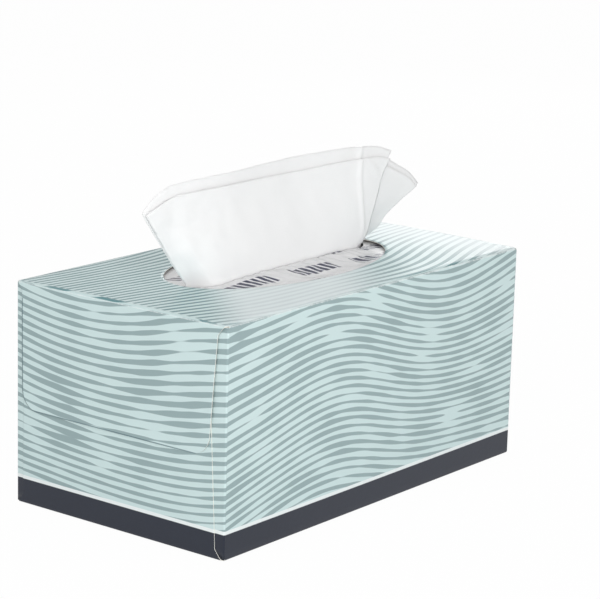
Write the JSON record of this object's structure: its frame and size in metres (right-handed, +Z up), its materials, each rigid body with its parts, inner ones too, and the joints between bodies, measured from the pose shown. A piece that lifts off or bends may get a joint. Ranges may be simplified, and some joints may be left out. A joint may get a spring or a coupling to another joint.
{
  "type": "pop-up tissue box",
  "caption": "Tall folded paperboard carton with an oval film window and a tissue standing in its slit.",
  "frame": {"origin": "middle of the carton's bottom face, on the surface that it stands on", "axes": "+X along the carton's length, towards the tissue's drooping corner; -Y towards the long front; +Z up"},
  "size_m": [0.245, 0.137, 0.169],
  "materials": {
    "printed_board": "printed, light varnish",
    "clear_film": "clear glossy film",
    "tissue": "soft matte paper"
  },
  "bodies": {
    "root": {"carton": "printed_board", "film": "clear_film", "tissue_stack": "tissue", "raised_tissue": "tissue"}
  },
  "joints": []
}
